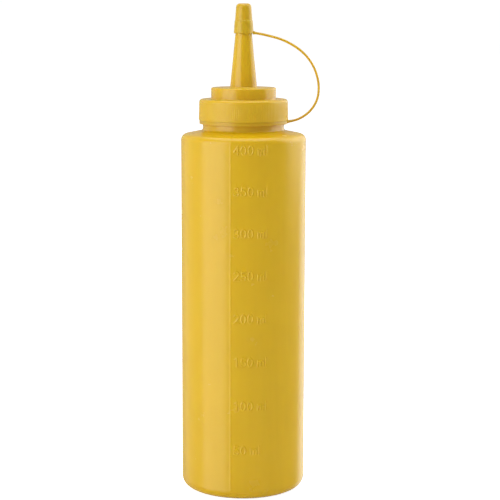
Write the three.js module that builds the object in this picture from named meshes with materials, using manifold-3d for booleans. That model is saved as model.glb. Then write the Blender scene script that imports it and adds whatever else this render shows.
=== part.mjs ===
// A squeeze bottle for sauces: a straight round body with a low shoulder, a screw collar with a
// stepped top and a long tapered nozzle, and a tip cap whose strap ends in a ring round the neck.
// Millimetres, +Z up. The base lies on Z = 0, the bottle's axis is Z, and the strap bows out to +X.
import * as THREE from "three";
import { mergeVertices } from "three/addons/utils/BufferGeometryUtils.js";
import Module from "manifold-3d";

// Bottle
const BODY_RADIUS = 29;
const BASE_ROUNDING = 4.5;
const SHOULDER_ROUNDING = 3;
const SHOULDER_SLOPE = THREE.MathUtils.degToRad(11.4);
const NECK_RADIUS = 18.8;
const NECK_ROOT = 169.1;
const NECK_TOP = 180;
const NECK_FILLET = 1.4;

// Clear space between pieces that meet
const GAP = 0.3;

// Screw collar, the stepped disc on it and the nozzle
const COLLAR_BOTTOM = 173.8;
const COLLAR_TOP = 183.45;
const COLLAR_RADIUS = 20.7;
const COLLAR_DRAFT = 0.25;
const COLLAR_TOP_ROUNDING = 1.3;
const COLLAR_FOOT_ROUNDING = 0.3;
const STEP_TOP = 188.75;
const STEP_RADIUS = 15;
const STEP_ROUNDING = 0.7;
const STEP_FILLET = 0.4;
const NOZZLE_ROOT_RADIUS = 6.25;
const NOZZLE_FILLET = 0.7;
const NOZZLE_TAPER = 0.1;
const NOZZLE_TOP = 219;

// Tip cap: a wider cuff below and a plain tapered end above
const CAP_RIM = 213.4;
const CAP_RIM_RADIUS = 4.55;
const CUFF_TOP = 219.1;
const CUFF_TOP_RADIUS = 4.15;
const CUFF_ROUNDING = 0.3;
const CAP_WAIST_RADIUS = 3.95;
const CAP_TOP = 227;
const CAP_TOP_RADIUS = 3.4;
const CAP_TOP_ROUNDING = 1.8;
const CAP_RIM_ROUNDING = 0.15;

// Neck ring and strap
const RING_BOTTOM = 172.1;
const RING_TOP = COLLAR_BOTTOM - GAP;
const RING_RADIUS = 20.4;
const RING_ROUNDING = 0.25;
const STRAP_THICKNESS = 1.15;
const STRAP_WIDTH = 1.8;
const LUG_SCALE = 1.45;
const LUG_LENGTH = 1.6;

// The strap's middle line in the XZ plane, [x, z], from the cap's rim round to the neck ring
const STRAP_ROUTE = [
  [4.25, 213.75],
  [9.6, 212.8],
  [18.9, 210.05],
  [27.1, 204.9],
  [32.2, 198.3],
  [34.6, 190.2],
  [33.95, 183.3],
  [30.7, 177.9],
  [25.4, 174.25],
  [19.5, 172.8],
];

// Facets: sides of a full turn, and steps in a rounded corner
const BODY_SIDES = 60;
const NOZZLE_SIDES = 48;
const CORNER_STEPS = 3;
const STRAP_STEPS = 48;

const BOTTLE_YELLOW = "#d9b02c";
const CAP_YELLOW = "#dcb22e";
const STRAP_YELLOW = "#d2ac30";

const wasm = await Module();
wasm.setup();

/** Points of an outline given as corners [radius, height, rounding], each rounding a tangent arc. */
function roundedOutline(corners) {
  const at = (i) => new THREE.Vector2(corners[i][0], corners[i][1]);
  return corners.flatMap(([, , rounding = 0], i) => {
    const corner = at(i);
    if (!rounding) return [corner];
    const back = at(i - 1).sub(corner).normalize();
    const ahead = at(i + 1).sub(corner).normalize();
    const half = Math.acos(back.dot(ahead)) / 2;
    const reach = rounding / Math.tan(half);
    const centre = back.clone().add(ahead).normalize();
    centre.multiplyScalar(rounding / Math.sin(half)).add(corner);
    const start = back.multiplyScalar(reach).add(corner).sub(centre);
    const end = ahead.multiplyScalar(reach).add(corner).sub(centre);
    const sweep = Math.atan2(start.cross(end), start.dot(end));
    return Array.from({ length: CORNER_STEPS + 1 }, (_, k) =>
      start
        .clone()
        .rotateAround(new THREE.Vector2(), (sweep * k) / CORNER_STEPS)
        .add(centre),
    );
  });
}

/** An outline turned round the Z axis. */
function turned(corners, sides) {
  return new THREE.LatheGeometry(roundedOutline(corners), sides).rotateX(
    Math.PI / 2,
  );
}

/** A closed geometry as a solid that can be joined to others. */
function solid(geometry) {
  const bare = geometry.clone();
  bare.deleteAttribute("normal");
  bare.deleteAttribute("uv");
  const merged = mergeVertices(bare, 1e-4);
  const corners = Array.from(merged.index.array);
  const triVerts = new Uint32Array(
    corners.filter((_, i) => {
      const [a, b, c] = corners.slice(i - (i % 3), i - (i % 3) + 3);
      return a !== b && b !== c && c !== a;
    }),
  );
  const vertProperties = merged.getAttribute("position").array;
  return new wasm.Manifold(
    new wasm.Mesh({ numProp: 3, vertProperties, triVerts }),
  );
}

/** A joined solid as geometry again. */
function geometryOf(made) {
  const { vertProperties, triVerts } = made.getMesh();
  const geometry = new THREE.BufferGeometry();
  geometry.setAttribute(
    "position",
    new THREE.BufferAttribute(vertProperties, 3),
  );
  geometry.setIndex(new THREE.BufferAttribute(triVerts, 1));
  geometry.computeVertexNormals();
  return geometry;
}

/** Nozzle radius at a height: a plain taper up from its root. */
function nozzleRadius(z) {
  return NOZZLE_ROOT_RADIUS - (z - STEP_TOP) * NOZZLE_TAPER;
}

/** Body, shoulder and neck, shut and solid. */
function bottleGeometry() {
  const shoulderEdge =
    NECK_ROOT - (BODY_RADIUS - NECK_RADIUS) * Math.tan(SHOULDER_SLOPE);
  return turned(
    [
      [0, 0],
      [BODY_RADIUS, 0, BASE_ROUNDING],
      [BODY_RADIUS, shoulderEdge, SHOULDER_ROUNDING],
      [NECK_RADIUS, NECK_ROOT, NECK_FILLET],
      [NECK_RADIUS, NECK_TOP],
      [0, NECK_TOP],
    ],
    BODY_SIDES,
  );
}

/** Collar with a plain seat over the neck, the stepped disc on it, and the nozzle. */
function nozzleCapGeometry() {
  const seatRadius = NECK_RADIUS + GAP;
  const seatTop = NECK_TOP + GAP;
  return turned(
    [
      [0, seatTop],
      [seatRadius, seatTop],
      [seatRadius, COLLAR_BOTTOM],
      [COLLAR_RADIUS, COLLAR_BOTTOM, COLLAR_FOOT_ROUNDING],
      [COLLAR_RADIUS - COLLAR_DRAFT, COLLAR_TOP, COLLAR_TOP_ROUNDING],
      [STEP_RADIUS, COLLAR_TOP, STEP_FILLET],
      [STEP_RADIUS, STEP_TOP, STEP_ROUNDING],
      [NOZZLE_ROOT_RADIUS, STEP_TOP, NOZZLE_FILLET],
      [nozzleRadius(NOZZLE_TOP), NOZZLE_TOP],
      [0, NOZZLE_TOP],
    ],
    BODY_SIDES,
  );
}

/** Cuffed cap with a plain seat over the nozzle's end. */
function tipCapGeometry() {
  const seatTop = NOZZLE_TOP + GAP;
  return turned(
    [
      [0, seatTop],
      [nozzleRadius(seatTop) + GAP, seatTop],
      [nozzleRadius(CAP_RIM) + GAP, CAP_RIM],
      [CAP_RIM_RADIUS, CAP_RIM, CAP_RIM_ROUNDING],
      [CUFF_TOP_RADIUS, CUFF_TOP, CUFF_ROUNDING],
      [CAP_WAIST_RADIUS, CUFF_TOP + CUFF_ROUNDING, CUFF_ROUNDING / 2],
      [CAP_TOP_RADIUS, CAP_TOP, CAP_TOP_ROUNDING],
      [0, CAP_TOP],
    ],
    NOZZLE_SIDES,
  );
}

/** Ring, an upright band loose round the neck under the collar. */
function neckRingGeometry() {
  const inside = NECK_RADIUS + GAP;
  const middle = (RING_BOTTOM + RING_TOP) / 2;
  return turned(
    [
      [inside, middle],
      [inside, RING_BOTTOM],
      [RING_RADIUS, RING_BOTTOM, RING_ROUNDING],
      [RING_RADIUS, RING_TOP, RING_ROUNDING],
      [inside, RING_TOP],
      [inside, middle],
    ],
    BODY_SIDES,
  );
}

/** Oval strap section carried along a path. */
function strapGeometry(extrudePath, steps, scale = 1) {
  const section = new THREE.Shape();
  section.absellipse(
    0,
    0,
    (STRAP_WIDTH / 2) * scale,
    (STRAP_THICKNESS / 2) * scale,
    0,
    2 * Math.PI,
  );
  return new THREE.ExtrudeGeometry(section, {
    steps,
    curveSegments: 6,
    extrudePath,
  });
}

/** Tip cap, strap and neck ring, one moulding. */
function tetheredCapGeometry() {
  const points = STRAP_ROUTE.map(([x, z]) => new THREE.Vector3(x, 0, z));
  const route = new THREE.CatmullRomCurve3(points);
  const lugEnd = route.getTangent(0).setLength(LUG_LENGTH).add(points[0]);
  const lug = new THREE.LineCurve3(points[0], lugEnd);
  return geometryOf(
    solid(tipCapGeometry())
      .add(solid(strapGeometry(lug, 1, LUG_SCALE)))
      .add(solid(strapGeometry(route, STRAP_STEPS)))
      .add(solid(neckRingGeometry())),
  );
}

/** A named sub-part in satin plastic. */
function piece(name, geometry, color, roughness) {
  const material = new THREE.MeshStandardMaterial({
    color,
    roughness,
    metalness: 0,
  });
  const mesh = new THREE.Mesh(geometry, material);
  mesh.name = name;
  return mesh;
}

const squeezeBottle = new THREE.Group();
squeezeBottle.add(
  piece("bottle", bottleGeometry(), BOTTLE_YELLOW, 0.42),
  piece("nozzle_cap", nozzleCapGeometry(), CAP_YELLOW, 0.45),
  piece("tip_cap", tetheredCapGeometry(), STRAP_YELLOW, 0.45),
);

export default squeezeBottle;
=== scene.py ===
# %% [markdown]
# # Dressing a yellow squeeze bottle
# The imported solids are the frame of this lesson: they fix every size and place, in metres, with the base
# on Z = 0, the bottle's axis on Z, the scale's face towards -Y and the cap's strap bowing out to +X.
# Each cell after this one makes one piece or one finish. The frame is read first, and its box is kept,
# so that the finished surfaces can be sized to stay inside it.

# %% Load the solids as a fixed frame
import math

import bpy
import numpy as np
from mathutils import Euler, Matrix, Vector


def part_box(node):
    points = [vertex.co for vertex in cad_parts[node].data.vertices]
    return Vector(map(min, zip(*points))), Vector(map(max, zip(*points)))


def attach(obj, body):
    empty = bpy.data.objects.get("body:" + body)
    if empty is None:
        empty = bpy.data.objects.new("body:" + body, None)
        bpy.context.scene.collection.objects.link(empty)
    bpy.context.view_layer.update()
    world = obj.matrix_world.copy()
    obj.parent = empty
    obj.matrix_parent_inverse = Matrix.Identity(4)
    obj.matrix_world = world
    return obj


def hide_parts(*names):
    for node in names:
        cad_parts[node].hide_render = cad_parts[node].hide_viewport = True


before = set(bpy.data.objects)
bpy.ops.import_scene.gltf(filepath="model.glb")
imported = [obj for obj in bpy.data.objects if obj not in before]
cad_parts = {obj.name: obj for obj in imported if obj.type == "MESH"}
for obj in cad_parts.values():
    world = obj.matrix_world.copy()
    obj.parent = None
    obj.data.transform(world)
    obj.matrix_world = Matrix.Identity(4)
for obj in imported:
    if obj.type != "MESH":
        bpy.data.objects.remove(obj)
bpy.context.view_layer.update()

MM = 0.001
scene = bpy.context.scene
bottle_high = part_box("bottle")[1]
cap_low, cap_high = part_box("nozzle_cap")
tip_low, tip_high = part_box("tip_cap")

# %% [markdown]
# ## Where the photographer stood
# The ellipses of the base and of the cap's rims tell how high the camera stood, and the way the sides
# draw together downwards tells how far away it was: about 0.7 m from the axis, a little lower than the
# tip of the bottle, tilted down. Its lens is long, so the sides stay nearly parallel. A slight turn to
# the right, and no lens shift, puts the bottle a few pixels left of the middle. That turn and a very
# small roll are set so that the edges of body and cap share what is left of the difference.

# %% Camera
CAMERA_DISTANCE = 0.700
CAMERA_HEIGHT = 0.2213
CAMERA_DOWN = math.radians(8.81)
CAMERA_RIGHT = math.radians(0.257)
CAMERA_ROLL = math.radians(0.14)
FOCAL_PIXELS = 1510
PICTURE_PIXELS = 500

camera_data = bpy.data.cameras.new("camera")
camera_data.sensor_width = 36
camera_data.lens = camera_data.sensor_width * FOCAL_PIXELS / PICTURE_PIXELS
camera_data.clip_start = 0.01
camera_data.clip_end = 50
camera = bpy.data.objects.new("camera", camera_data)
camera.location = (0, -CAMERA_DISTANCE, CAMERA_HEIGHT)
aim = Euler((math.pi / 2 - CAMERA_DOWN, 0, -CAMERA_RIGHT)).to_matrix()
camera.rotation_euler = (aim @ Matrix.Rotation(CAMERA_ROLL, 3, "Z")).to_euler()
scene.collection.objects.link(camera)
scene.camera = camera
print("camera lens in mm:", round(camera_data.lens, 1))

# %% [markdown]
# ## Outlines with soft corners
# Every moulded piece here is round, and no moulded edge is sharp. So each piece starts as an outline:
# a few corners given as radius and height, each with the rounding that its mould has. A bevel modifier
# could round the edges afterwards, but an arc put into the outline keeps its exact size and gives the
# smooth shading clean rings to follow.

# %% Outline helper
ARC_STEPS = 8


def corner_arc(before, corner, after, rounding):
    """Points of one corner: the corner itself, or the arc of radius `rounding` that touches both sides.

    The arc's centre lies on the corner's bisector, rounding / sin(half angle) from the corner, and the
    arc sweeps from the touching point on the first side to the one on the second.
    """
    before, corner, after = (np.asarray(p[:2], float) for p in (before, corner, after))
    if rounding == 0:
        return corner[None]
    back = (before - corner) / np.linalg.norm(before - corner)
    ahead = (after - corner) / np.linalg.norm(after - corner)
    half = np.arccos(np.clip(back @ ahead, -1, 1)) / 2
    middle = back + ahead
    centre = corner + middle / np.linalg.norm(middle) * rounding / np.sin(half)
    first = corner + back * rounding / np.tan(half) - centre
    last = corner + ahead * rounding / np.tan(half) - centre
    sweep = np.arctan2(first[0] * last[1] - first[1] * last[0], first @ last)
    turn = sweep * np.linspace(0, 1, ARC_STEPS + 1)[:, None]
    return centre + first * np.cos(turn) + np.array([-first[1], first[0]]) * np.sin(turn)


def soft_outline(corners):
    """One array of (radius, height) for each corner (radius, height, rounding), ends kept as they are."""
    ring = [corners[0], *corners, corners[-1]]
    return [
        corner_arc(a, b, c, b[2] if len(b) > 2 else 0)
        for a, b, c in zip(ring, ring[1:], ring[2:])
    ]


def filled_in(outline, longest):
    """The outline with extra points on its straight runs, so that no step is longer than `longest`."""
    steps = np.linalg.norm(np.diff(outline, axis=0), axis=1)
    parts = np.maximum(1, np.ceil(steps / longest)).astype(int)
    place = np.concatenate([[0], np.cumsum(parts)])
    wanted = np.arange(place[-1] + 1)
    return np.stack([np.interp(wanted, place, outline[:, k]) for k in (0, 1)], axis=1)


print("a right-angled corner becomes", len(corner_arc((1, 0), (1, 1), (0, 1), 0.5)), "points")

# %% [markdown]
# ## From a grid of points to a closed mesh
# A turned piece is a grid: rows follow the outline and columns go round the axis. The whole grid is
# computed at once with numpy, its faces come from shifted copies of one index array, and foreach_set
# hands both to Blender without a loop over vertices. The open rings at the two ends are closed by fans,
# and the signed volume says whether the faces have to be turned round to point outwards.

# %% Grid helpers


def turned(outline, azimuth, lift=0.0):
    """Surface of revolution: outline point (r, z) pushed out by `lift`, then carried round Z.

    x = r sin(azimuth), y = -r cos(azimuth), so azimuth 0 faces -Y and grows towards +X. `lift` goes along
    the outline's normal, and is one number or a height for each row and column.
    """
    along = np.gradient(outline, axis=0)
    normal = np.stack([along[:, 1], -along[:, 0]], 1)
    normal /= np.maximum(np.linalg.norm(normal, axis=1, keepdims=True), 1e-12)
    lift = np.broadcast_to(lift, (len(outline), len(azimuth)))
    r = outline[:, :1] + normal[:, :1] * lift
    z = outline[:, 1:] + normal[:, 1:] * lift
    return np.stack([r * np.sin(azimuth), -r * np.cos(azimuth), z], -1)


def closed_mesh(name, grid, joined_ends=False):
    """Mesh of a grid that wraps round its columns, closed by a fan at each end or end to end."""
    rows, columns = grid.shape[:2]
    index = np.arange(rows * columns).reshape(rows, columns)
    low = index if joined_ends else index[:-1]
    high = np.roll(index, -1, axis=0) if joined_ends else index[1:]
    quads = np.stack([low, np.roll(low, -1, 1), np.roll(high, -1, 1), high], -1).reshape(-1, 4)
    points = grid.reshape(-1, 3)
    fans = np.empty((0, 3), int)
    if not joined_ends:
        poles = grid[[0, -1]].mean(axis=1)
        first, last = np.full(columns, rows * columns), np.full(columns, rows * columns + 1)
        fans = np.concatenate([
            np.stack([first, np.roll(index[0], -1), index[0]], -1),
            np.stack([last, index[-1], np.roll(index[-1], -1)], -1),
        ])
        points = np.concatenate([points, poles])
    triangles = np.concatenate([quads[:, [0, 1, 2]], quads[:, [0, 2, 3]], fans])
    a, b, c = (points[triangles[:, k]] for k in range(3))
    if np.einsum("ij,ij->", a, np.cross(b, c)) < 0:
        quads, fans = quads[:, ::-1], fans[:, ::-1]
    corners = np.concatenate([quads.ravel(), fans.ravel()]).astype(np.int32)
    starts = np.concatenate([np.arange(len(quads)) * 4, len(quads) * 4 + np.arange(len(fans)) * 3])
    mesh = bpy.data.meshes.new(name)
    mesh.vertices.add(len(points))
    mesh.vertices.foreach_set("co", points.astype(np.float32).ravel())
    mesh.loops.add(len(corners))
    mesh.loops.foreach_set("vertex_index", corners)
    mesh.polygons.add(len(starts))
    mesh.polygons.foreach_set("loop_start", starts.astype(np.int32))
    mesh.update(calc_edges=True)
    mesh.validate()
    mesh.shade_smooth()
    piece = bpy.data.objects.new(name, mesh)
    scene.collection.objects.link(piece)
    print(name, "has", len(points), "points and", len(triangles), "triangles")
    return piece


def smooth_step(x):
    """0 below 0, 1 above 1, and 3x^2 - 2x^3 between."""
    x = np.clip(x, 0, 1)
    return x * x * (3 - 2 * x)


def full_turn(count):
    """Evenly spaced azimuths of one whole turn."""
    return np.linspace(-np.pi, np.pi, count, endpoint=False)


print("a turn in 96 steps goes", np.degrees(np.diff(full_turn(96)))[0], "degrees at a time")

# %% [markdown]
# ## The volume scale
# The mould has numbers cut into it, so they stand up from the bottle's front as low rounded ridges.
# Text objects wrapped on the wall would sit on it like stickers. Here each character is a few strokes,
# and the wall itself is lifted where a point is close to a stroke, so wall and numbers are one skin.
# The strokes are arcs and straight lines in a cell one unit high.

# %% Characters as strokes


def arc(cx, cy, rx, ry, start, end, count=15):
    """Points of an elliptical arc about (cx, cy), angles in degrees, 0 to the right and 90 up."""
    t = np.radians(np.linspace(start, end, count))
    return np.stack([cx + rx * np.cos(t), cy + ry * np.sin(t)], 1)


def line(*points):
    """A polyline through the given points."""
    return np.array(points, float)


FIGURES = {
    "0": [arc(0.30, 0.50, 0.25, 0.46, 0, 360, 29)],
    "1": [line((0.14, 0.76), (0.34, 0.96), (0.34, 0.04))],
    "2": [np.concatenate([arc(0.30, 0.70, 0.24, 0.26, 165, -38), line((0.06, 0.04), (0.56, 0.04))])],
    "3": [np.concatenate([
        arc(0.28, 0.735, 0.22, 0.225, 155, -90),
        arc(0.28, 0.275, 0.26, 0.235, 84, -155),
    ])],
    "4": [line((0.44, 0.04), (0.44, 0.96), (0.04, 0.30), (0.60, 0.30))],
    "5": [np.concatenate([
        line((0.52, 0.96), (0.13, 0.96), (0.10, 0.53)),
        arc(0.29, 0.33, 0.26, 0.29, 130, -150),
    ])],
    "m": [
        line((0.06, 0.04), (0.06, 0.66)),
        np.concatenate([arc(0.22, 0.46, 0.16, 0.18, 180, 0), line((0.38, 0.04))]),
        np.concatenate([arc(0.54, 0.46, 0.16, 0.18, 180, 0), line((0.70, 0.04))]),
    ],
    "l": [line((0.08, 0.04), (0.08, 0.96))],
}
ADVANCE = {"m": 0.92, "l": 0.3, " ": 0.3}
FIGURE_ADVANCE = 0.76


def distance_to_strokes(words, u, v):
    """Distance from each point (u, v), in character heights, to the nearest stroke of a row of words.

    A stroke is a chain of straight pieces from p to q. The nearest point of a piece is p + t(q - p), with
    t the projection of the point on it, held between 0 and 1.
    """
    nearest = np.full(np.broadcast(u, v).shape, np.inf)
    left = 0.0
    for character in words:
        for stroke in FIGURES.get(character, []):
            for p, q in zip(stroke[:-1] + (left, 0), stroke[1:] + (left, 0)):
                d = q - p
                t = np.clip(((u - p[0]) * d[0] + (v - p[1]) * d[1]) / (d @ d), 0, 1)
                nearest = np.minimum(nearest, np.hypot(u - p[0] - t * d[0], v - p[1] - t * d[1]))
        left += ADVANCE.get(character, FIGURE_ADVANCE)
    return nearest


print("characters drawn:", "".join(sorted(FIGURES)))

# %% [markdown]
# ## The bottle
# Such a bottle is blown: a hot tube of plastic swells against a two-part mould. That leaves marks that a
# plain lathe shape lacks. The photograph shows the fine parting line on the front. The line at the back,
# the pushed-up underside with its welded seam and the slightly uneven wall are what this way of making
# usually leaves, and are guessed here. The outline comes first: a spun curve or a screw modifier would
# turn it too, but a grid of points can also be lifted point by point for all of these marks.

# %% Bottle sizes and outline
WALL_ROOM = 0.04 * MM
BODY_RADIUS = bottle_high.y - WALL_ROOM
BASE_ROUNDING = 4.5 * MM
SHOULDER_ROUNDING = 3 * MM
SHOULDER_SLOPE = math.radians(11.4)
NECK_RADIUS = 18.8 * MM
NECK_ROOT = 169.1 * MM
NECK_FILLET = 1.4 * MM
NECK_TOP = bottle_high.z
PUSH_UP = 1.5 * MM
PUSH_UP_RADIUS = 20 * MM
PUSH_UP_FILLET = 3 * MM
PUSH_UP_ROUNDING = 1 * MM
NECK_TOP_ROUNDING = 0.6 * MM
CENTRE = 0.5 * MM

shoulder_corner = NECK_ROOT - (BODY_RADIUS - NECK_RADIUS) * math.tan(SHOULDER_SLOPE)
bottle_corners = soft_outline([
    (CENTRE, PUSH_UP),
    (PUSH_UP_RADIUS - 2 * PUSH_UP, PUSH_UP, PUSH_UP_FILLET),
    (PUSH_UP_RADIUS, 0, PUSH_UP_ROUNDING),
    (BODY_RADIUS, 0, BASE_ROUNDING),
    (BODY_RADIUS, shoulder_corner, SHOULDER_ROUNDING),
    (NECK_RADIUS, NECK_ROOT, NECK_FILLET),
    (NECK_RADIUS, NECK_TOP, NECK_TOP_ROUNDING),
    (CENTRE, NECK_TOP),
])
base_arc, shoulder_arc = bottle_corners[3:5]
wall_low, wall_high = base_arc[-1, 1], shoulder_arc[0, 1]
print("straight wall from", round(wall_low / MM, 1), "to", round(wall_high / MM, 1), "mm")

# %% [markdown]
# ## A grid that is fine only where it has to be
# The raised numbers need steps of about a tenth of a millimetre, and the plain back of the wall needs
# hardly any. A subdivision modifier would refine the whole wall, and pass the limit on triangles. So the
# heights of the rings and the azimuths of the columns are mixed: wide steps, with close ones in the bands
# that hold a row of numbers or a parting line. The rows stand where the photograph shows them, and their
# steps grow slightly downwards.

# %% Rings and columns, close together where the relief is fine
SCALE_MARKS = range(400, 0, -50)
SCALE_TOP = 162.1 * MM
SCALE_STEP = 18.4 * MM
SCALE_STRETCH = 0.19 * MM
CHARACTER_HEIGHT = 4.2 * MM
SCALE_LEFT = math.radians(-8.6)
SCALE_RIGHT = math.radians(24)
PARTING_AZIMUTHS = np.radians([-11.5, 168.5])
PARTING_WIDTH = 0.45 * MM
FINE_ACROSS = 0.12 * MM
FINE_UP = 0.18 * MM
COARSE_ACROSS = math.radians(3)
COARSE_UP = 3.2 * MM
LAST_AZIMUTH = np.pi * (1 - 1 / 64)
LOW_MARGIN = 1 * MM
HIGH_MARGIN = 0.1 * MM
FOOT_STEP = 2.5 * MM
HEAD_STEP = 1.5 * MM


def mixed_steps(low, high, coarse, bands):
    """Steps of `coarse` from low to high, with finer steps in each band (start, end, step)."""
    wide = np.linspace(low, high, max(2, int(np.ceil((high - low) / coarse)) + 1))
    for start, end, _ in bands:
        wide = wide[(wide < start - coarse / 4) | (wide > end + coarse / 4)]
    return np.sort(np.concatenate([wide, *(np.arange(s, e, step) for s, e, step in bands)]))


row_number = np.arange(len(SCALE_MARKS))
row_heights = SCALE_TOP - SCALE_STEP * row_number - SCALE_STRETCH * row_number**2
half_row = CHARACTER_HEIGHT / 2 + 2 * FINE_UP
wall_heights = mixed_steps(
    wall_low + LOW_MARGIN,
    wall_high - HIGH_MARGIN,
    COARSE_UP,
    [(z - half_row, min(z + half_row, wall_high - 2 * HIGH_MARGIN), FINE_UP) for z in row_heights],
)
parting_reach = 3 * PARTING_WIDTH / BODY_RADIUS
parting_step = 0.3 * PARTING_WIDTH / BODY_RADIUS
bottle_azimuth = mixed_steps(
    -np.pi,
    LAST_AZIMUTH,
    COARSE_ACROSS,
    [(SCALE_LEFT - 3 * FINE_ACROSS / BODY_RADIUS, SCALE_RIGHT, FINE_ACROSS / BODY_RADIUS)]
    + [(a - parting_reach, a + parting_reach, parting_step) for a in PARTING_AZIMUTHS],
)
wall_rings = np.stack([np.full_like(wall_heights, BODY_RADIUS), wall_heights], 1)
foot = filled_in(np.concatenate(bottle_corners[:4]), FOOT_STEP)
head = filled_in(np.concatenate(bottle_corners[4:]), HEAD_STEP)
bottle_outline = np.concatenate([foot, wall_rings, head])
print("bottle grid:", len(bottle_outline), "rings of", len(bottle_azimuth), "points")

# %% [markdown]
# ## Lifting the wall
# Each mark is a small height, worked out for the whole grid at once: the numbers from the distance to
# their strokes, the parting lines and the seam as bell curves, the unevenness as slow waves. Their sum
# moves each point along the outline's normal. The finished skin has to stay inside the solid's box, so
# the wall lies a few hundredths of a millimetre inside the solid, and it sinks by two tenths behind the
# numbers. That hollow is a device of this model, too shallow to see, and not a feature of the bottle.

# %% The bottle's relief
SCALE_RAISE = 0.24 * MM
STROKE_HALF = 0.1 * MM
STROKE_EDGE = 0.3 * MM
SCALE_DIP_WIDTH = math.radians(14)
SCALE_DIP_END = 1.5 * MM
PARTING_RAISE = 0.09 * MM
PINCH_RAISE = 0.3 * MM
PINCH_WIDTH = 0.7 * MM
PINCH_REACH = PUSH_UP_RADIUS - 4 * MM
PINCH_FADE = 2 * MM
WAVE = 0.03 * MM
WAVES = ((2, 21, 0.7, 1), (3, -13, 2.1, 1), (5, 34, 4.0, 0.7))
FADE = 12 * MM


def scale_relief(azimuth, height):
    """Raised characters: full height on a stroke, easing to the wall across STROKE_EDGE at its sides."""
    relief = np.zeros(np.broadcast(azimuth, height).shape)
    across = (azimuth - SCALE_LEFT) * BODY_RADIUS / CHARACTER_HEIGHT
    for mark, middle in zip(SCALE_MARKS, row_heights):
        up = (height - middle) / CHARACTER_HEIGHT + 0.5
        near = np.abs(up[:, 0] - 0.5) < 0.75
        away = distance_to_strokes(f"{mark} ml", across, up[near]) * CHARACTER_HEIGHT
        relief[near] += SCALE_RAISE * smooth_step((STROKE_HALF + STROKE_EDGE - away) / STROKE_EDGE)
    return relief


def parting_relief(azimuth, height):
    """A fine ridge on each side, a bell curve of the distance round the wall, ending on the neck."""
    turned_away = (azimuth - PARTING_AZIMUTHS[:, None, None] + np.pi) % (2 * np.pi) - np.pi
    ridge = np.exp(-((turned_away * BODY_RADIUS / PARTING_WIDTH) ** 2)).sum(axis=0)
    return PARTING_RAISE * ridge * smooth_step(np.minimum(height, NECK_ROOT + MM - height) / MM)


def pinch_relief(azimuth, radius):
    """The welded seam across the pushed-up underside, a bell curve of the distance from its line."""
    across = radius * np.sin(azimuth - PARTING_AZIMUTHS[0])
    inside = smooth_step((PINCH_REACH - radius) / PINCH_FADE)
    return PINCH_RAISE * np.exp(-((across / PINCH_WIDTH) ** 2)) * inside


def scale_dip(azimuth, height):
    """A shallow hollow behind the scale, so that its raised characters end level with the wall."""
    low_end = smooth_step((height - wall_low) / FADE)
    high_end = smooth_step((wall_high + SCALE_DIP_END - height) / SCALE_DIP_END)
    across = np.exp(-((azimuth / SCALE_DIP_WIDTH) ** 2))
    return -(SCALE_RAISE - WALL_ROOM) * across * low_end * high_end


def wall_waver(azimuth, height):
    """Slow unevenness of the blown wall: crossed sine waves, fading out at base and shoulder.

    Each of WAVES has its count round the wall, the millimetres that it climbs for each radian, its start
    and its share. Their mean is moved inwards by half of WAVE, to keep the wall inside the solid.
    """
    z = height / MM
    waves = (share * np.sin(count * azimuth + z / climb + start) for count, climb, start, share in WAVES)
    wave = sum(waves) / sum(share for *_, share in WAVES)
    ends = smooth_step((height - wall_low) / FADE) * smooth_step((wall_high - height) / FADE)
    return WAVE * (wave - 0.5) * ends


ring_radii, ring_heights = bottle_outline[:, :1], bottle_outline[:, 1:]
underneath = (np.arange(len(bottle_outline)) < len(foot) - 1)[:, None]
outside_lift = sum(
    relief(bottle_azimuth, ring_heights)
    for relief in (wall_waver, scale_dip, scale_relief, parting_relief)
)
widest = np.maximum(np.abs(np.cos(bottle_azimuth)), np.abs(np.sin(bottle_azimuth)))
room = bottle_high.y / widest - BODY_RADIUS
outside_lift = np.minimum(outside_lift, room)
bottle_lift = np.where(underneath, pinch_relief(bottle_azimuth, ring_radii), outside_lift)
bottle = closed_mesh("bottle_skin", turned(bottle_outline, bottle_azimuth, bottle_lift))
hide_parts("bottle")
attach(bottle, "root")
print("relief from", round(bottle_lift.min() / MM, 3), "to", round(bottle_lift.max() / MM, 3), "mm")

# %% [markdown]
# ## The nozzle cap
# Collar, stepped disc and nozzle are one injection moulding. In the photograph the edge of the light is
# softer on the collar than on the step above it, so the collar is taken to be matter, with fine upright
# grip ribs. The photograph is too small to show ribs, so their number and depth are guessed. A bump map
# could fake them, but a rib for each few columns of a dense grid makes them real shape.

# %% Nozzle cap
GAP = 0.3 * MM
COLLAR_BOTTOM = cap_low.z
COLLAR_TOP = 183.45 * MM
COLLAR_RADIUS = cap_high.y
COLLAR_DRAFT = 0.25 * MM
STEP_RADIUS = 15 * MM
STEP_TOP = 188.75 * MM
NOZZLE_ROOT_RADIUS = 6.25 * MM
NOZZLE_TAPER = 0.1
NOZZLE_TOP = cap_high.z
SEAT_ROUNDING = 0.3 * MM
COLLAR_FOOT_ROUNDING = 0.15 * MM
COLLAR_TOP_ROUNDING = 1.3 * MM
STEP_FILLET = 0.4 * MM
STEP_ROUNDING = 0.7 * MM
NOZZLE_FILLET = 0.7 * MM
NOZZLE_TOP_ROUNDING = 0.4 * MM
RIBS = 150
RIB_DEPTH = 0.09 * MM
RIB_LOW_END = COLLAR_BOTTOM + 0.5 * MM
RIB_HIGH_END = COLLAR_TOP - 1 * MM
RIB_FADE = 0.8 * MM
POINTS_PER_RIB = 6
CAP_STEP = 2.5 * MM


def nozzle_radius(height):
    """The nozzle's straight taper up from the step."""
    return NOZZLE_ROOT_RADIUS - (height - STEP_TOP) * NOZZLE_TAPER


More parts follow.
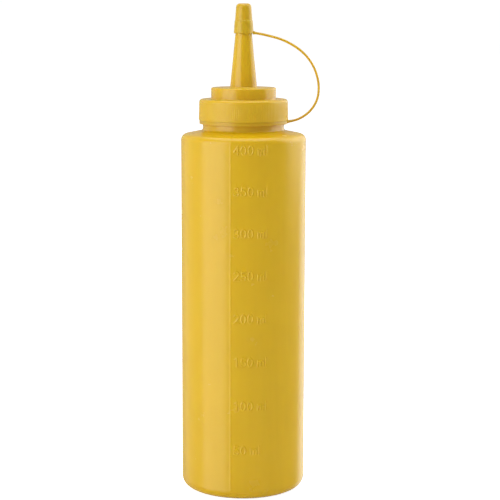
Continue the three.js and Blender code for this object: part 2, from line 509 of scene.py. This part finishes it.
seat_radius = NECK_RADIUS + GAP
seat_top = NECK_TOP + GAP
cap_outline = filled_in(np.concatenate(soft_outline([
    (CENTRE, seat_top),
    (seat_radius, seat_top, SEAT_ROUNDING),
    (seat_radius, COLLAR_BOTTOM, SEAT_ROUNDING),
    (COLLAR_RADIUS, COLLAR_BOTTOM, COLLAR_FOOT_ROUNDING),
    (COLLAR_RADIUS - COLLAR_DRAFT, COLLAR_TOP, COLLAR_TOP_ROUNDING),
    (STEP_RADIUS, COLLAR_TOP, STEP_FILLET),
    (STEP_RADIUS, STEP_TOP, STEP_ROUNDING),
    (NOZZLE_ROOT_RADIUS, STEP_TOP, NOZZLE_FILLET),
    (nozzle_radius(NOZZLE_TOP), NOZZLE_TOP, NOZZLE_TOP_ROUNDING),
    (CENTRE, NOZZLE_TOP),
])), CAP_STEP)
cap_azimuth = full_turn(RIBS * POINTS_PER_RIB)


def rib_relief(azimuth, outline):
    """Grooves in the collar's side: the square of a raised cosine, with one period for each rib."""
    radius, height = outline[:, :1], outline[:, 1:]
    low_end = smooth_step((height - RIB_LOW_END) / RIB_FADE)
    high_end = smooth_step((RIB_HIGH_END - height) / RIB_FADE)
    side = radius > (seat_radius + COLLAR_RADIUS) / 2
    return -RIB_DEPTH * side * low_end * high_end * (0.5 + 0.5 * np.cos(RIBS * azimuth)) ** 2


rib_lift = rib_relief(cap_azimuth, cap_outline)
nozzle_cap = closed_mesh("nozzle_cap_skin", turned(cap_outline, cap_azimuth, rib_lift))
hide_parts("nozzle_cap")
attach(nozzle_cap, "root")

# %% [markdown]
# ## The tip cap, its strap and its ring
# These three are one moulding: the strap bows out from the cap's rim and ends in a ring round the neck,
# right under the collar. The cap and the ring are turned outlines again, the ring a plain upright band.
# It sits closer to the collar than its solid does, so that no wide dark gap shows, and clears it still.

# %% Tip cap and neck ring
CAP_RIM = 213.4 * MM
CAP_RIM_RADIUS = 4.55 * MM
CUFF_TOP = 219.1 * MM
CUFF_TOP_RADIUS = 4.15 * MM
CUFF_ROUNDING = 0.3 * MM
CAP_WAIST_RADIUS = 3.95 * MM
CAP_TOP = tip_high.z
CAP_TOP_RADIUS = 3.4 * MM
CAP_TOP_ROUNDING = 1.8 * MM
CAP_RIM_ROUNDING = 0.15 * MM
CAP_SEAT_ROUNDING = 0.1 * MM
RING_ROOM = 0.03 * MM
RING_BOTTOM = tip_low.z
RING_TOP = COLLAR_BOTTOM - RING_ROOM
RING_RADIUS = 20.4 * MM
RING_FOOT_ROUNDING = 0.2 * MM
RING_TOP_ROUNDING = 0.06 * MM
RING_SEAT_FOOT = 0.1 * MM
RING_SEAT_TOP = 0.2 * MM
TIP_STEP = 1 * MM
TIP_SIDES = 96
RING_SIDES = 180

tip_seat_top = NOZZLE_TOP + GAP
tip_outline = filled_in(np.concatenate(soft_outline([
    (CENTRE, tip_seat_top),
    (nozzle_radius(tip_seat_top) + GAP, tip_seat_top),
    (nozzle_radius(CAP_RIM) + GAP, CAP_RIM, CAP_SEAT_ROUNDING),
    (CAP_RIM_RADIUS, CAP_RIM, CAP_RIM_ROUNDING),
    (CUFF_TOP_RADIUS, CUFF_TOP, CUFF_ROUNDING),
    (CAP_WAIST_RADIUS, CUFF_TOP + CUFF_ROUNDING, CUFF_ROUNDING / 2),
    (CAP_TOP_RADIUS, CAP_TOP, CAP_TOP_ROUNDING),
    (CENTRE, CAP_TOP),
])), TIP_STEP)
tip_cap = closed_mesh("tip_cap_skin", turned(tip_outline, full_turn(TIP_SIDES)))

ring_middle = (RING_BOTTOM + RING_TOP) / 2
ring_outline = np.concatenate(soft_outline([
    (seat_radius, ring_middle),
    (seat_radius, RING_BOTTOM, RING_SEAT_FOOT),
    (RING_RADIUS, RING_BOTTOM, RING_FOOT_ROUNDING),
    (RING_RADIUS, RING_TOP, RING_TOP_ROUNDING),
    (seat_radius, RING_TOP, RING_SEAT_TOP),
    (seat_radius, ring_middle),
]))[:-1]
ring_grid = turned(ring_outline, full_turn(RING_SIDES))
neck_ring = closed_mesh("neck_ring_skin", ring_grid, joined_ends=True)

# %% [markdown]
# ## The strap
# The strap is thin and springy, so it hangs in one smooth bow. Blender's own curve objects with a bevel
# could draw it, but an oval carried along a curve in numpy keeps its exact thickness, and can swell into
# its two roots. The curve goes through a few points that are read off the photograph.

# %% Strap
STRAP_ROUTE = MM * np.array([
    (4.25, 213.75),
    (9.6, 212.8),
    (18.9, 210.05),
    (27.1, 204.9),
    (32.2, 198.3),
    (34.6, 190.2),
    (33.95, 183.3),
    (30.7, 177.9),
    (25.4, 174.25),
    (19.5, 172.8),
])
STRAP_THICKNESS = 1.13 * MM
STRAP_WIDTH = 1.8 * MM
CAP_SWELLING = 0.45
CAP_SWELLING_LENGTH = 1.8 * MM
TAB_WIDENING = 1.44
TAB_THICKENING = 0.315
TAB_LENGTH = 4 * MM
STEPS_PER_POINT = 40


def curve_through(points, steps):
    """Centripetal Catmull-Rom curve through the points, spaced evenly by length.

    It is made of cubic pieces. The knots are the square roots of the distances apart, and each end is
    prolonged by its own first step.
    """
    p = np.concatenate([2 * points[:1] - points[1:2], points, 2 * points[-1:] - points[-2:-1]])
    knot = np.sqrt(np.linalg.norm(np.diff(p, axis=0), axis=1))[:, None]
    a, b, c = knot[:-2], knot[1:-1], knot[2:]
    p0, p1, p2, p3 = p[:-3], p[1:-2], p[2:-1], p[3:]
    leave = ((p1 - p0) / a - (p2 - p0) / (a + b) + (p2 - p1) / b) * b
    reach = ((p2 - p1) / b - (p3 - p1) / (b + c) + (p3 - p2) / c) * b
    t = np.linspace(0, 1, STEPS_PER_POINT, endpoint=False)[None, :, None]
    p1, p2, leave, reach = (x[:, None] for x in (p1, p2, leave, reach))
    path = (2 * t**3 - 3 * t**2 + 1) * p1 + (t**3 - 2 * t**2 + t) * leave
    path = path + (3 * t**2 - 2 * t**3) * p2 + (t**3 - t**2) * reach
    path = np.concatenate([path.reshape(-1, 2), points[-1:]])
    length = np.concatenate([[0], np.cumsum(np.linalg.norm(np.diff(path, axis=0), axis=1))])
    even = np.linspace(0, length[-1], steps)
    return np.stack([np.interp(even, length, path[:, k]) for k in (0, 1)], 1), even


def strap_grid(steps=150, sides=20):
    """Oval section in the plane across the path: half width along Y, half thickness along its normal.

    Both swell at the cap's rim, and at the ring the strap spreads into a flat tab.
    """
    path, length = curve_through(STRAP_ROUTE, steps)
    along = np.gradient(path, axis=0)
    along /= np.linalg.norm(along, axis=1, keepdims=True)
    swelling = CAP_SWELLING * (1 - smooth_step(length / CAP_SWELLING_LENGTH))[:, None]
    tab = (1 - smooth_step((length[-1] - length) / TAB_LENGTH))[:, None]
    turn = np.linspace(0, 2 * np.pi, sides, endpoint=False)
    wide = STRAP_WIDTH / 2 * (1 + swelling + TAB_WIDENING * tab) * np.cos(turn)
    thick = STRAP_THICKNESS / 2 * (1 + swelling + TAB_THICKENING * tab) * np.sin(turn)
    x = path[:, :1] - along[:, 1:] * thick
    z = path[:, 1:] + along[:, :1] * thick
    print("strap length in mm:", round(length[-1] / MM, 1))
    return np.stack([x, wide, z], -1)


strap = closed_mesh("strap_skin", strap_grid())
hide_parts("tip_cap")
for part in (tip_cap, neck_ring, strap):
    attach(part, "root")

# %% [markdown]
# ## Moulded yellow plastic
# Soft polyethylene is not one flat colour. The pigment is mixed unevenly, so it clouds a little, blowing
# draws faint upright streaks, the skin has a fine grain that blurs reflections, and handling polishes
# some patches. These effects are shared by all pieces, so they are one node group with its own inputs,
# and each material sets them to the way its piece was made. What is the same all over stays on the
# shader itself.

# %% Node group for the plastic's skin
CLOUD_SCALE = 38
STREAK_SCALE = 420
STREAK_DRAW = 0.06
HANDLING_SCALE = 95


def noise(tree, vector, scale, detail, roughness=0.5):
    """A noise texture's value output."""
    node = tree.nodes.new("ShaderNodeTexNoise")
    node.inputs["Scale"].default_value = scale
    node.inputs["Detail"].default_value = detail
    node.inputs["Roughness"].default_value = roughness
    tree.links.new(vector, node.inputs["Vector"])
    return node.outputs["Fac"]


def math_node(tree, operation, *values):
    """A math node whose inputs are sockets or numbers."""
    node = tree.nodes.new("ShaderNodeMath")
    node.operation = operation
    for socket, value in zip(node.inputs, values):
        if isinstance(value, (int, float)):
            socket.default_value = value
        else:
            tree.links.new(value, socket)
    return node.outputs[0]


def build_skin_group():
    """Object coordinates in, clouded pigment, uneven roughness and a grain height out."""
    tree = bpy.data.node_groups.new("moulded_skin", "ShaderNodeTree")
    for name, kind in (
        ("Deep Pigment", "NodeSocketColor"),
        ("Pale Pigment", "NodeSocketColor"),
        ("Streaks", "NodeSocketFloat"),
        ("Roughness", "NodeSocketFloat"),
        ("Unevenness", "NodeSocketFloat"),
        ("Grain Scale", "NodeSocketFloat"),
    ):
        tree.interface.new_socket(name, in_out="INPUT", socket_type=kind)
    for name, kind in (
        ("Color", "NodeSocketColor"),
        ("Roughness", "NodeSocketFloat"),
        ("Height", "NodeSocketFloat"),
    ):
        tree.interface.new_socket(name, in_out="OUTPUT", socket_type=kind)
    given = tree.nodes.new("NodeGroupInput").outputs
    result = tree.nodes.new("NodeGroupOutput").inputs
    place = tree.nodes.new("ShaderNodeTexCoord").outputs["Object"]
    drawn = tree.nodes.new("ShaderNodeMapping")
    drawn.inputs["Scale"].default_value = (1, 1, STREAK_DRAW)
    tree.links.new(place, drawn.inputs["Vector"])
    cloud = noise(tree, place, CLOUD_SCALE, detail=3)
    streak = noise(tree, drawn.outputs["Vector"], STREAK_SCALE, detail=2)
    streaked = math_node(tree, "MULTIPLY", math_node(tree, "SUBTRACT", streak, 0.5), given["Streaks"])
    blend = tree.nodes.new("ShaderNodeMix")
    blend.data_type = "RGBA"
    tree.links.new(math_node(tree, "ADD", cloud, streaked), blend.inputs["Factor"])
    tree.links.new(given["Deep Pigment"], blend.inputs["A"])
    tree.links.new(given["Pale Pigment"], blend.inputs["B"])
    tree.links.new(blend.outputs["Result"], result["Color"])
    handled = noise(tree, place, HANDLING_SCALE, detail=4, roughness=0.6)
    uneven = math_node(tree, "MULTIPLY", math_node(tree, "SUBTRACT", handled, 0.5), given["Unevenness"])
    tree.links.new(math_node(tree, "ADD", given["Roughness"], uneven), result["Roughness"])
    grain = tree.nodes.new("ShaderNodeTexNoise")
    grain.inputs["Detail"].default_value = 2
    tree.links.new(place, grain.inputs["Vector"])
    tree.links.new(given["Grain Scale"], grain.inputs["Scale"])
    tree.links.new(math_node(tree, "ADD", grain.outputs["Fac"], streaked), result["Height"])
    return tree


skin_group = build_skin_group()
print("skin group outputs:", [s.name for s in skin_group.interface.items_tree if s.in_out == "OUTPUT"])

# %% [markdown]
# ## Three mouldings, one plastic
# The bottle is blown, so it is streaky and smooth. The caps are injection mouldings with a finer grain.
# On the nozzle cap one input varies with height: the collar's grip is matt, and the step and the nozzle
# above are smoother, so that they show the lights as crisper stripes. A map range node on the height does
# that without a second material.

# %% Materials of the three mouldings
DEEP_YELLOW = (0.70, 0.435, 0.004)
PALE_YELLOW = (0.78, 0.49, 0.006)
GRIP_ROUGHNESS = 0.38
SMOOTH_ROUGHNESS = 0.23
GRIP_END = COLLAR_TOP - 1.6 * MM
GRIP_EASE = 1 * MM
REFRACTION = 1.54
LIGHT_LET_IN = 0.3
LIGHT_REACH = 2.5 * MM
REACH_BY_COLOUR = (1.0, 0.6, 0.1)
GRAIN_DEPTH = 0.005 * MM
UNEVENNESS = 0.08


def moulded_plastic(name, shade, streaks, roughness, grain_scale):
    """Pigmented polyethylene: the skin group over a Principled shader that lets a little light in."""
    material = bpy.data.materials.new(name)
    material.use_nodes = True
    tree = material.node_tree
    shader = tree.nodes["Principled BSDF"]
    shader.inputs["IOR"].default_value = REFRACTION
    shader.inputs["Subsurface Weight"].default_value = LIGHT_LET_IN
    shader.inputs["Subsurface Radius"].default_value = REACH_BY_COLOUR
    shader.inputs["Subsurface Scale"].default_value = LIGHT_REACH
    skin = tree.nodes.new("ShaderNodeGroup")
    skin.name = "skin"
    skin.node_tree = skin_group
    skin.inputs["Deep Pigment"].default_value = (*(shade * c for c in DEEP_YELLOW), 1)
    skin.inputs["Pale Pigment"].default_value = (*(shade * c for c in PALE_YELLOW), 1)
    skin.inputs["Streaks"].default_value = streaks
    skin.inputs["Roughness"].default_value = roughness
    skin.inputs["Unevenness"].default_value = UNEVENNESS
    skin.inputs["Grain Scale"].default_value = grain_scale
    bump = tree.nodes.new("ShaderNodeBump")
    bump.inputs["Strength"].default_value = 1
    bump.inputs["Distance"].default_value = GRAIN_DEPTH
    tree.links.new(skin.outputs["Color"], shader.inputs["Base Color"])
    tree.links.new(skin.outputs["Roughness"], shader.inputs["Roughness"])
    tree.links.new(skin.outputs["Height"], bump.inputs["Height"])
    tree.links.new(bump.outputs["Normal"], shader.inputs["Normal"])
    return material


def smoother_above(material, height):
    """Sets the skin's roughness: GRIP_ROUGHNESS up to the height, then easing to SMOOTH_ROUGHNESS."""
    tree = material.node_tree
    place = tree.nodes.new("ShaderNodeSeparateXYZ")
    tree.links.new(tree.nodes.new("ShaderNodeTexCoord").outputs["Object"], place.inputs["Vector"])
    grip = tree.nodes.new("ShaderNodeMapRange")
    grip.interpolation_type = "SMOOTHSTEP"
    grip.inputs["From Min"].default_value = height
    grip.inputs["From Max"].default_value = height + GRIP_EASE
    grip.inputs["To Min"].default_value = GRIP_ROUGHNESS
    grip.inputs["To Max"].default_value = SMOOTH_ROUGHNESS
    tree.links.new(place.outputs["Z"], grip.inputs["Value"])
    tree.links.new(grip.outputs["Result"], tree.nodes["skin"].inputs["Roughness"])


blown_plastic = moulded_plastic(
    "blown_yellow_plastic", shade=1.0, streaks=0.5, roughness=0.26, grain_scale=1500
)
collar_plastic = moulded_plastic(
    "moulded_yellow_plastic", shade=0.97, streaks=0.1, roughness=GRIP_ROUGHNESS, grain_scale=2200
)
strap_plastic = moulded_plastic(
    "strap_yellow_plastic", shade=0.88, streaks=0.1, roughness=0.32, grain_scale=2200
)
smoother_above(collar_plastic, GRIP_END)
bottle.data.materials.append(blown_plastic)
nozzle_cap.data.materials.append(collar_plastic)
for part in (tip_cap, neck_ring, strap):
    part.data.materials.append(strap_plastic)
print("materials:", [m.name for m in bpy.data.materials if m.name.endswith("plastic")])

# %% [markdown]
# ## The floor
# The photograph's ground is plain white, with no horizon. A large pale plane does for it. It glows for
# the camera only, so it looks white and adds no light to the bottle, and it is left out of reflections,
# because the bottle's sides reflect lights that reach down past its base.

# %% Floor
FLOOR_HALF = 8.0
FLOOR_GLOW = 0.85
FLOOR_HEIGHT = -0.02 * MM

floor_mesh = bpy.data.meshes.new("floor")
floor_sides = ((-1, -1), (1, -1), (1, 1), (-1, 1))
floor_corners = [(x * FLOOR_HALF, y * FLOOR_HALF, FLOOR_HEIGHT) for x, y in floor_sides]
floor_mesh.from_pydata(floor_corners, [], [(0, 1, 2, 3)])
floor = bpy.data.objects.new("floor", floor_mesh)
scene.collection.objects.link(floor)
floor_material = bpy.data.materials.new("pale_floor")
floor_material.use_nodes = True
floor_shader = floor_material.node_tree.nodes["Principled BSDF"]
floor_shader.inputs["Base Color"].default_value = (0.9, 0.9, 0.9, 1)
floor_shader.inputs["Roughness"].default_value = 0.9
floor_shader.inputs["Specular IOR Level"].default_value = 0.1
floor_shader.inputs["Emission Color"].default_value = (1, 1, 1, 1)
floor_tree = floor_material.node_tree
floor_seen = floor_tree.nodes.new("ShaderNodeLightPath").outputs["Is Camera Ray"]
floor_glow = math_node(floor_tree, "MULTIPLY", floor_seen, FLOOR_GLOW)
floor_tree.links.new(floor_glow, floor_shader.inputs["Emission Strength"])
floor.visible_glossy = False
floor_mesh.materials.append(floor_material)
print("floor", 2 * FLOOR_HALF, "m wide")

# %% [markdown]
# ## Soft light from five sides
# A broad light stands on the left at the bottle's own height, and its near edge draws the upright
# boundary on the body. A weak one behind it fills the left edge. One on the right is raised, so that the
# cap reflects it and the body hardly does. A narrow one behind on the right makes the pale rim, and one
# overhead lights the shoulder and the tops. Rendering each light alone and adding the pictures shows how
# strong each has to be to match the photograph. The strengths here are close to those, except that the
# rim light was raised. The surround is dim for the bottle and white for the camera.

# %% Lights
AIM = (0, 0, 0.11)
SURROUND = 0.24
SWEEP = 0.45
SWEEP_FROM, SWEEP_TO = 0.1, 0.8
WHITE_GROUND = 1.02


def soft_light(name, azimuth, elevation, distance, width, height, radiance):
    """A rectangle of even light, turned to face the bottle. Power is radiance times area times pi."""
    data = bpy.data.lights.new(name, "AREA")
    data.shape = "RECTANGLE"
    data.size, data.size_y = width, height
    data.energy = radiance * width * height * math.pi
    lamp = bpy.data.objects.new(name, data)
    a, e = math.radians(azimuth), math.radians(elevation)
    lamp.location = (
        AIM[0] + distance * math.sin(a) * math.cos(e),
        AIM[1] - distance * math.cos(a) * math.cos(e),
        AIM[2] + distance * math.sin(e),
    )
    lamp.rotation_euler = Euler((math.pi / 2 - e, 0, a))
    lamp.visible_camera = False
    scene.collection.objects.link(lamp)
    return lamp


# name, azimuth and elevation in degrees, distance, width and height in metres, radiance
for name, *numbers in (
    ("left_softbox", -54.5, 0, 1.0, 0.95, 1.5, 2.25),
    ("left_fill", -110, 5, 1.0, 1.1, 1.4, 0.38),
    ("right_softbox", 106, 25, 1.0, 0.75, 1.05, 2.0),
    ("right_rim", 143, 0, 1.1, 0.6, 1.5, 1.1),
    ("overhead", 0, 90, 1.3, 1.6, 1.6, 1.85),
):
    soft_light(name, *numbers)

world = bpy.data.worlds.new("surround")
world.use_nodes = True
sky = world.node_tree
surround = sky.nodes["Background"]
surround.inputs["Color"].default_value = (1, 1, 1, 1)
towards = sky.nodes.new("ShaderNodeVectorMath")
towards.operation = "DOT_PRODUCT"
towards.inputs[1].default_value = (0, 1, 0)
sky.links.new(sky.nodes.new("ShaderNodeTexCoord").outputs["Generated"], towards.inputs[0])
sweep = sky.nodes.new("ShaderNodeMapRange")
sweep.interpolation_type = "SMOOTHSTEP"
sweep.inputs["From Min"].default_value = SWEEP_FROM
sweep.inputs["From Max"].default_value = SWEEP_TO
sweep.inputs["To Min"].default_value = SURROUND
sweep.inputs["To Max"].default_value = SWEEP
sky.links.new(towards.outputs["Value"], sweep.inputs["Value"])
seen = sky.nodes.new("ShaderNodeLightPath").outputs["Is Camera Ray"]
white_ground = math_node(sky, "MULTIPLY", seen, WHITE_GROUND)
strength = math_node(sky, "MAXIMUM", white_ground, sweep.outputs["Result"])
sky.links.new(strength, surround.inputs["Strength"])
scene.world = world
scene.view_settings.view_transform = "Standard"
